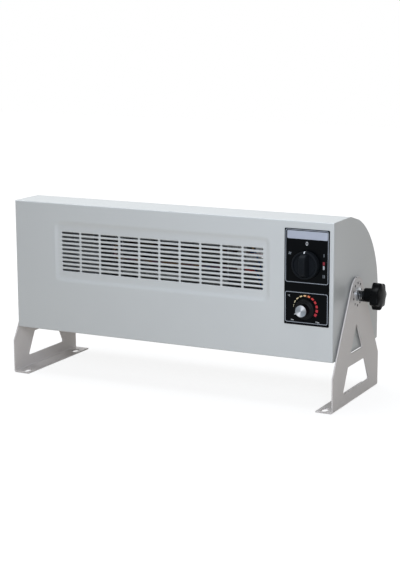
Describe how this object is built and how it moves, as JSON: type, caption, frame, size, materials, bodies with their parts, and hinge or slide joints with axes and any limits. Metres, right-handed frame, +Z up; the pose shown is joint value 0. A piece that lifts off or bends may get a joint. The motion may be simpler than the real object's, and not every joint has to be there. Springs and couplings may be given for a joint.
{
  "type": "fan heater",
  "caption": "Electric fan heater: a slotted sheet steel casing with control knobs, tilting between two leg brackets on star knobs.",
  "frame": {"origin": "on the floor, under the middle of the part's box, so that the legs' feet stand at z = 0", "axes": "+X to the right seen from the front, along the casing's width; the front panel faces -Y; +Z up"},
  "size_m": [0.6192, 0.2118, 0.2725],
  "materials": {
    "leg_paint": "light grey powder coat",
    "casing_paint": "light grey powder coat, satin",
    "spring_steel": "oiled spring steel, nearly black",
    "washer_steel": "blackened steel",
    "knob_plastic": "black moulded plastic, fine grain",
    "selector_plastic": "dark grey moulded plastic",
    "dial_plastic": "black moulded plastic",
    "dial_cap_metal": "turned aluminium, fine rings",
    "plate_print": "black printed foil, satin",
    "plated_steel": "zinc plated steel",
    "galvanised": "galvanised sheet steel",
    "fibre_disc": "grey friction fibre",
    "switch_plastic": "cream moulded plastic",
    "tab_brass": "tinned brass",
    "bulb_copper": "bare copper",
    "wheel_metal": "dull aluminium",
    "bearing_bronze": "oiled sintered bronze",
    "ring_rubber": "soft black rubber",
    "core_steel": "stacked electrical steel sheets",
    "coil_tape": "dark red winding under tape",
    "strap_metal": "die-cast, dull",
    "cooler_plastic": "ivory moulded plastic",
    "tube_steel": "heat-darkened stainless tube",
    "ceramic": "white steatite ceramic",
    "cutout_plastic": "black heat-resistant plastic",
    "red_insulation": "red insulated wire",
    "blue_insulation": "blue insulated wire",
    "gland_plastic": "black moulded plastic"
  },
  "bodies": {
    "stand": {"leg_left": "leg_paint", "leg_right": "leg_paint", "seat_washer_left": "plated_steel", "seat_washer_right": "plated_steel"},
    "housing": {"clamp_spring_left": "spring_steel", "clamp_spring_right": "spring_steel", "front_panel": "casing_paint", "top_rear_cover": "casing_paint", "bottom_plate": "casing_paint", "side_panel_left": "casing_paint", "side_panel_right": "casing_paint", "friction_disc_left": "fibre_disc", "friction_disc_right": "fibre_disc", "pivot_nut_left": "plated_steel", "pivot_nut_right": "plated_steel", "control_plate": "plate_print", "rotary_switch": "switch_plastic", "switch_tabs": "tab_brass", "thermostat_body": "plated_steel", "thermostat_bulb": "bulb_copper", "bulb_clip": "plated_steel", "frame_plate_left": "galvanised", "frame_plate_right": "galvanised", "scroll_wall": "galvanised", "duct_roof": "galvanised", "fan_bearing": "bearing_bronze", "bearing_rubber": "ring_rubber", "motor_core": "core_steel", "motor_coil": "coil_tape", "motor_bracket_inner": "strap_metal", "motor_bracket_outer": "strap_metal", "motor_screws": "plated_steel", "heating_tube_front": "tube_steel", "heating_tube_rear": "tube_steel", "tube_insulators": "ceramic", "tube_hanger": "galvanised", "thermal_cutout": "cutout_plastic", "terminal_block": "ceramic", "red_wires": "red_insulation", "blue_wires": "blue_insulation", "cable_gland": "gland_plastic", "panel_screws": "plated_steel"},
    "selector": {"selector_knob": "selector_plastic", "selector_shaft": "plated_steel"},
    "dial": {"thermostat_dial": "dial_plastic", "thermostat_cap": "dial_cap_metal", "thermostat_shaft": "plated_steel"},
    "rotor": {"fan_wheel": "wheel_metal", "fan_shaft": "plated_steel", "stub_shaft": "plated_steel", "motor_rotor": "core_steel", "cooling_fan": "cooler_plastic"},
    "left_washer": {"knob_washer_left": "washer_steel"},
    "right_washer": {"knob_washer_right": "washer_steel"},
    "left_knob": {"star_knob_left": "knob_plastic", "knob_stud_left": "plated_steel"},
    "right_knob": {"star_knob_right": "knob_plastic", "knob_stud_right": "plated_steel"}
  },
  "joints": [
    {"name": "tilt", "type": "hinge", "parent": "stand", "child": "housing", "pos_m": [0, -0.0031, 0.1575], "axis": [1, 0, 0], "range_deg": [-72, 72]},
    {"name": "selector_turn", "type": "hinge", "parent": "housing", "child": "selector", "pos_m": [0.2247, -0.1, 0.211], "axis": [0, -1, 0], "range_deg": [-120, 60]},
    {"name": "dial_turn", "type": "hinge", "parent": "housing", "child": "dial", "pos_m": [0.2227, -0.095, 0.1467], "axis": [0, -1, 0], "range_deg": [-240, 0]},
    {"name": "fan_spin", "type": "hinge", "parent": "housing", "child": "rotor", "pos_m": [-0.0234, 0.0249, 0.2105], "axis": [1, 0, 0], "continuous": true},
    {"name": "left_knob_travel", "type": "slide", "parent": "housing", "child": "left_washer", "axis": [-1, 0, 0], "range_m": [0, 0.00375], "deforming": ["clamp_spring_left"]},
    {"name": "left_knob_turn", "type": "hinge", "parent": "left_washer", "child": "left_knob", "pos_m": [-0.295, -0.0031, 0.1575], "axis": [-1, 0, 0], "range_deg": [0, 1081]},
    {"name": "right_knob_travel", "type": "slide", "parent": "housing", "child": "right_washer", "axis": [1, 0, 0], "range_m": [0, 0.00375], "deforming": ["clamp_spring_right"]},
    {"name": "right_knob_turn", "type": "hinge", "parent": "right_washer", "child": "right_knob", "pos_m": [0.295, -0.0031, 0.1575], "axis": [1, 0, 0], "range_deg": [0, 1081]}
  ],
  "couplings": [
    {"joint": "left_knob_turn", "follows": "left_knob_travel", "rad_per_m": 5026.5},
    {"joint": "right_knob_turn", "follows": "right_knob_travel", "rad_per_m": 5026.5}
  ]
}
